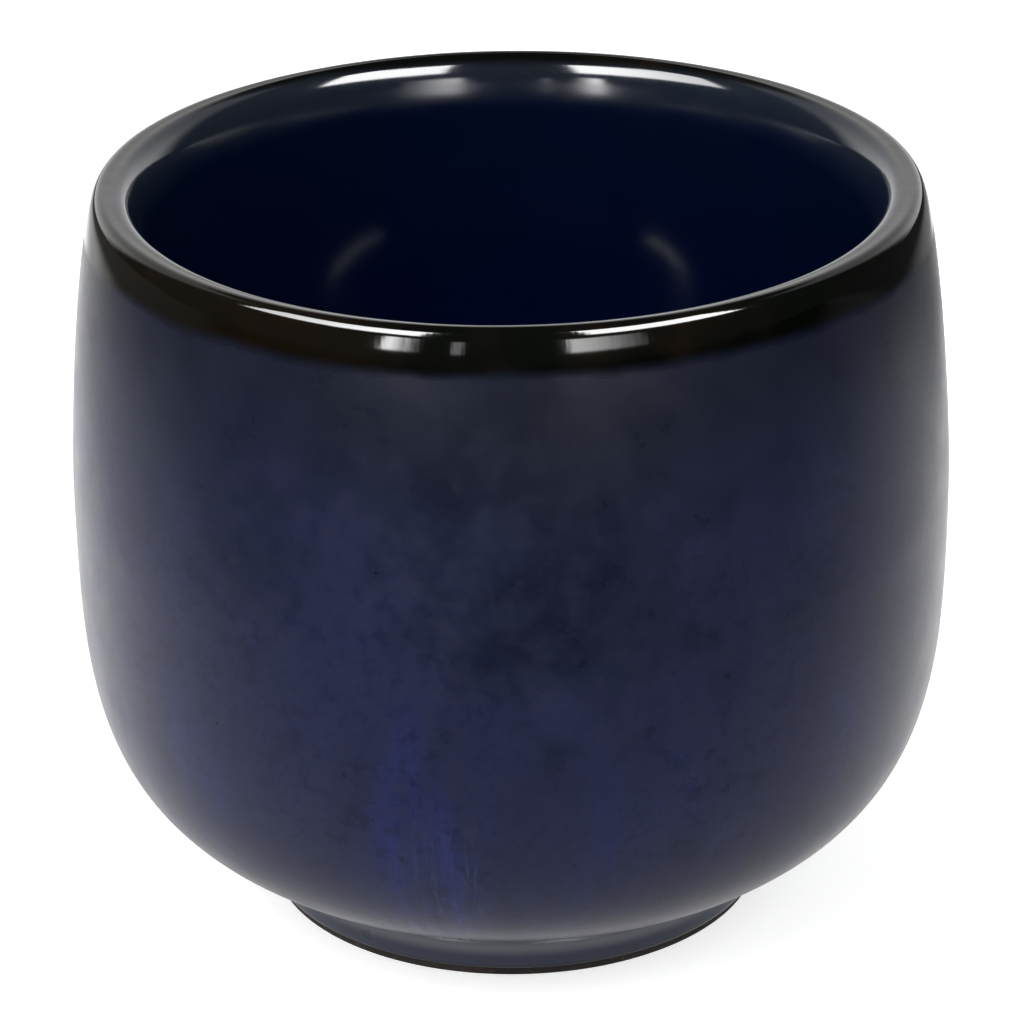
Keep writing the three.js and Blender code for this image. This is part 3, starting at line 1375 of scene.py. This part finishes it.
@dataclass(frozen=True)
class PaleFloor:
    """A floor that is white to the camera, keeps the cup's soft shadow and is lit behind it."""

    side: float = 3.0
    level: float = -0.05 * MM
    tint: Colour = (0.75, 0.75, 0.75)
    glow: float = 0.7
    left_lean: float = -0.12
    near: Ramp = Ramp(-0.08, 0.065, 0.06, 1.62)
    far: Ramp = Ramp(0.06, 0.25, 0.0, 0.3)
    centre: float = -0.009
    aside: Ramp = Ramp(0.055, 0.12, 1.0, 0.46)
    far_aside: Ramp = Ramp(0.13, 0.23, 1.0, 0.12)
    corner_right: Ramp = Ramp(0.06, 0.1, 0.0, 0.6)
    corner_back: Ramp = Ramp(0.07, 0.11)

    def build(self) -> None:
        """Lay the floor."""
        mesh = bpy.data.meshes.new("studio_floor")
        ways = (-1, -1), (1, -1), (1, 1), (-1, 1)
        corners = [(x * self.side, y * self.side, self.level) for x, y in ways]
        mesh.from_pydata(corners, [], [(0, 1, 2, 3)])
        mesh.materials.append(self.material())
        new_object("studio_floor", mesh)

    def material(self) -> bpy.types.Material:
        """Make the floor's material.

        Returns:
            It.
        """
        bench = MaterialBench("pale_floor")
        matt = bench.signal("ShaderNodeBsdfDiffuse", {"Color": self.tint})
        glow = bench.seen_by(Seer.CAMERA) * self.glow
        plain = bench.signal("ShaderNodeEmission", {"Strength": glow})
        lit = bench.signal("ShaderNodeAddShader", {0: matt, 1: plain})
        mirrored = bench.signal("ShaderNodeEmission", {"Strength": self.mirrored(bench)})
        feeds = {0: bench.seen_in_glaze(), 1: lit, 2: mirrored}
        return bench.closed(bench.signal("ShaderNodeMixShader", feeds))

    def mirrored(self, bench: MaterialBench) -> Signal:
        """Find how bright the floor is in the glaze: dim in front and at the sides.

        Args:
            bench: The floor's tree.

        Returns:
            Its brightness.
        """
        x, y, _ = bench.parts(bench.place)
        leftward = bench.math("MAXIMUM", x * self.left_lean, 0.0)
        aside = bench.math("ABSOLUTE", x - self.centre)
        behind = self.near.of(y + leftward) + self.far.of(y)
        behind = behind * self.aside.of(aside) * self.far_aside.of(aside)
        corner = self.corner_right.of(x) * self.corner_back.of(y)
        return behind * bench.math("SUBTRACT", 1.0, corner)


@dataclass(frozen=True)
class Backdrop:
    """A world that is white to the camera, and a lit backdrop in a dim room to the glaze."""

    white: Colour = (1.0, 1.0, 1.0)
    lean: float = 0.74
    behind: Ramp = Ramp(0.6, 0.82)
    slope: float = 0.35
    top: Ramp = Ramp(0.62, 0.5)
    lit: Ramp = Ramp(0.0, 0.62, 1.44, 0.6)
    room: float = 0.04
    fill: float = 0.36

    def build(self) -> None:
        """Make the world."""
        world = bpy.data.worlds.new("studio_world")
        bpy.context.scene.world = world
        world.use_nodes = True
        bench = Bench(world.node_tree)
        x, y, z = bench.parts(bench.signal("ShaderNodeTexCoord", None, "Generated"))
        below_top = self.top.of(z - bench.math("ABSOLUTE", x) * self.slope)
        mirrored = self.behind.of(y + z * self.lean) * below_top * self.lit.of(z) + self.room
        strength = bench.blend(bench.seen_in_glaze(), self.fill, mirrored)
        strength = bench.blend(bench.seen_by(Seer.CAMERA), strength, 1.0)
        sky = bench.signal("ShaderNodeBackground", {"Color": self.white, "Strength": strength})
        bench.node("ShaderNodeOutputWorld", {"Surface": sky})


def sky_way(right: float, up: float) -> Vector:
    """Find the way to a place in the sky.

    Args:
        right: Degrees to the right of the photographed side.
        up: Degrees above the horizontal.

    Returns:
        The way, of length one.
    """
    turn, rise = math.radians(right), math.radians(up)
    flat = math.cos(rise)
    return Vector((flat * math.sin(turn), -flat * math.cos(turn), math.sin(rise)))


def aim(thing: bpy.types.Object, target: Sequence[float], way: Vector, distance: float) -> None:
    """Let a lamp or camera look at a target.

    Args:
        thing: The lamp or camera.
        target: Where it looks.
        way: The way back from there.
        distance: How far away it is.
    """
    thing.location = Vector(target) + distance * way
    thing.rotation_mode = "QUATERNION"
    thing.rotation_quaternion = (-way).to_track_quat("-Z", "Y")


@dataclass(frozen=True)
class Softbox:
    """A lamp, by the part of the sky that it fills as seen from the cup, in degrees.

    Attributes:
        sheen: How bright it is in the glaze.
        fill: How bright it is as light on the cup.
        fade: The share of the sheen that is left at its right side.
    """

    name: str
    left: float
    right: float
    low: float
    high: float
    sheen: float
    fill: float = 0.0
    fade: float = 1.0


@dataclass(frozen=True)
class SoftLamps:
    """Plain soft lamps round the front of the cup."""

    distance: float = 0.6
    target: tuple[float, float, float] = (0.0, 0.0, 0.052)
    edge: float = 1.2
    margin: float = 1.25
    lamps: tuple[Softbox, ...] = (
        Softbox("key_left", -80.0, -24.5, 30.5, 50.0, 14.0, 10.5, 1.8),
        Softbox("key_right", 22.0, 68.0, 32.0, 52.5, 24.0, 6.5),
        Softbox("low_left", -32.5, -23.5, 6.0, 23.0, 21.0, 0.0, 0.1),
        Softbox("low_right", 15.0, 35.0, 6.0, 23.0, 10.0, 0.0, 0.1),
        Softbox("glint", -14.5, -12.0, 6.0, 21.0, 3.0),
    )

    def build(self) -> None:
        """Hang each lamp as one for the glaze and, where it has a fill, one more that only lights
        the cup.
        """
        for box in self.lamps:
            sheen = self.lamp(box, "_sheen", box.sheen, self.margin)
            sheen.visible_diffuse = False
            self.shape(sheen.data, box)
            if box.fill:
                self.lamp(box, "_fill", box.fill, 1.0).visible_glossy = False

    def lamp(self, box: Softbox, ending: str, radiance: float, margin: float) -> bpy.types.Object:
        """Hang a lamp.

        Args:
            box: Where.
            ending: What its name ends in.
            radiance: How bright its face is.
            margin: How much larger its face is than the part of the sky.

        Returns:
            The lamp.
        """
        light = bpy.data.lights.new(box.name + ending, "AREA")
        light.shape = "RECTANGLE"
        across = math.radians(box.right - box.left) * margin
        tall = math.radians(box.high - box.low) * margin
        light.size = 2 * self.distance * math.tan(across / 2)
        light.size_y = 2 * self.distance * math.tan(tall / 2)
        light.energy = radiance * math.pi * light.size * light.size_y
        lamp = new_object(light.name, light)
        way = sky_way((box.left + box.right) / 2, (box.low + box.high) / 2)
        aim(lamp, self.target, way, self.distance)
        return lamp

    def shape(self, light: bpy.types.Light, box: Softbox) -> None:
        """Give a lamp soft sides that stand upright as seen from the cup.

        Args:
            light: The lamp.
            box: Its sides, and how it fades to the right.
        """
        light.use_nodes = True
        bench = Bench(light.node_tree)
        place = bench.signal("ShaderNodeNewGeometry", None, "Position")
        ray = bench.vector("SUBTRACT", {0: place, 1: self.target})
        x, y, z = bench.parts(bench.vector("NORMALIZE", {0: ray}))
        turn = bench.math("ARCTAN2", x, y * -1.0)
        rise = bench.math("ARCSINE", z)
        soft = math.radians(self.edge)
        sides = math.radians(box.left), math.radians(box.right)
        ends = math.radians(box.low), math.radians(box.high)
        strength = Ramp(*sides, 1.0, box.fade).of(turn)
        for value, (near, far) in ((turn, sides), (rise, ends)):
            rising = Ramp(near - soft, near + soft).of(value)
            strength = strength * rising * Ramp(far + soft, far - soft).of(value)
        glow = bench.signal("ShaderNodeEmission", {"Strength": strength})
        bench.node("ShaderNodeOutputLight", {"Surface": glow})


@dataclass(frozen=True)
class PhotoCamera:
    """The photograph's camera, fitted to the cup's outline."""

    target: tuple[float, float, float] = (0.02 * MM, 0.0, 28.64 * MM)
    distance: float = 320.0 * MM
    elevation: float = 24.08
    roll: float = -0.011
    lens: float = 152.5
    sensor: float = 36.0
    clip_start: float = 10.0 * MM
    clip_end: float = 20.0

    def build(self) -> None:
        """Make the camera and use it."""
        data = bpy.data.cameras.new("photo_camera")
        data.lens = self.lens
        data.sensor_width = self.sensor
        data.clip_start = self.clip_start
        data.clip_end = self.clip_end
        camera = new_object("photo_camera", data)
        aim(camera, self.target, sky_way(0.0, self.elevation), self.distance)
        camera.rotation_quaternion @= Quaternion((0.0, 0.0, 1.0), self.roll)
        bpy.context.scene.camera = camera


def main() -> None:
    """Build the cup, its studio and its camera."""
    logging.basicConfig(level=logging.INFO, format="%(name)s %(message)s")
    bpy.context.scene.view_settings.view_transform = "Standard"
    PhotoCamera().build()
    section = CupSection()
    lathe = Lathe()
    ClayBody(section, lathe).build()
    GlazeCoats(section, lathe).build()
    PaleFloor().build()
    Backdrop().build()
    SoftLamps().build()


if __name__ == "__main__":
    main()
